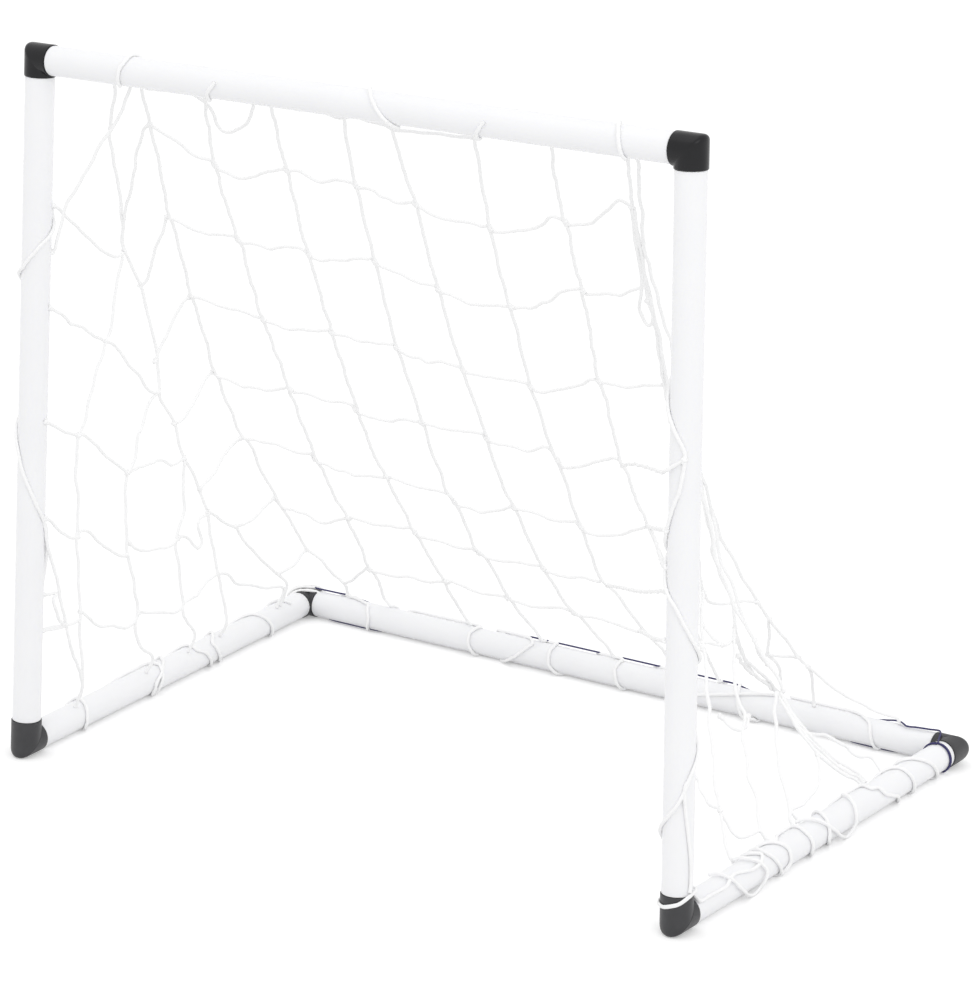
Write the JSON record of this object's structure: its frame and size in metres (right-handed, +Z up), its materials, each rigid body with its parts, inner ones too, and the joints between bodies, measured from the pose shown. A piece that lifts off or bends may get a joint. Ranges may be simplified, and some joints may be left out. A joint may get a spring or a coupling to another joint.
{
  "type": "mini soccer goal",
  "caption": "Small free-standing soccer goal: push-fit plastic tubes in corner elbows, with a knotted twine net laced to the crossbar, posts and ground frame.",
  "frame": {"origin": "on the floor, at the middle of the goal's footprint", "axes": "+X along the crossbar to the right as seen from in front of the mouth, +Y from the mouth to the rear tube, +Z up"},
  "size_m": [0.7212, 0.4742, 0.6274],
  "materials": {
    "white_tube": "semi-gloss extruded white plastic",
    "black_elbow": "semi-gloss moulded black plastic",
    "white_twine": "twisted matt white twine",
    "navy_cord": "thin matt navy cord"
  },
  "bodies": {
    "root": {"crossbar": "white_tube", "left_post": "white_tube", "right_post": "white_tube", "left_side_tube": "white_tube", "right_side_tube": "white_tube", "rear_tube": "white_tube", "elbow_top_left": "black_elbow", "elbow_top_right": "black_elbow", "elbow_front_left": "black_elbow", "elbow_front_right": "black_elbow", "elbow_rear_left": "black_elbow", "elbow_rear_right": "black_elbow", "net_back": "white_twine", "net_left": "white_twine", "net_right": "white_twine", "lacing_crossbar": "white_twine", "lacing_left_post": "white_twine", "lacing_right_post": "white_twine", "lacing_left_side": "white_twine", "lacing_right_side": "white_twine", "lacing_rear": "white_twine", "foot_tie": "white_twine", "tie_cord": "navy_cord"}
  },
  "joints": []
}
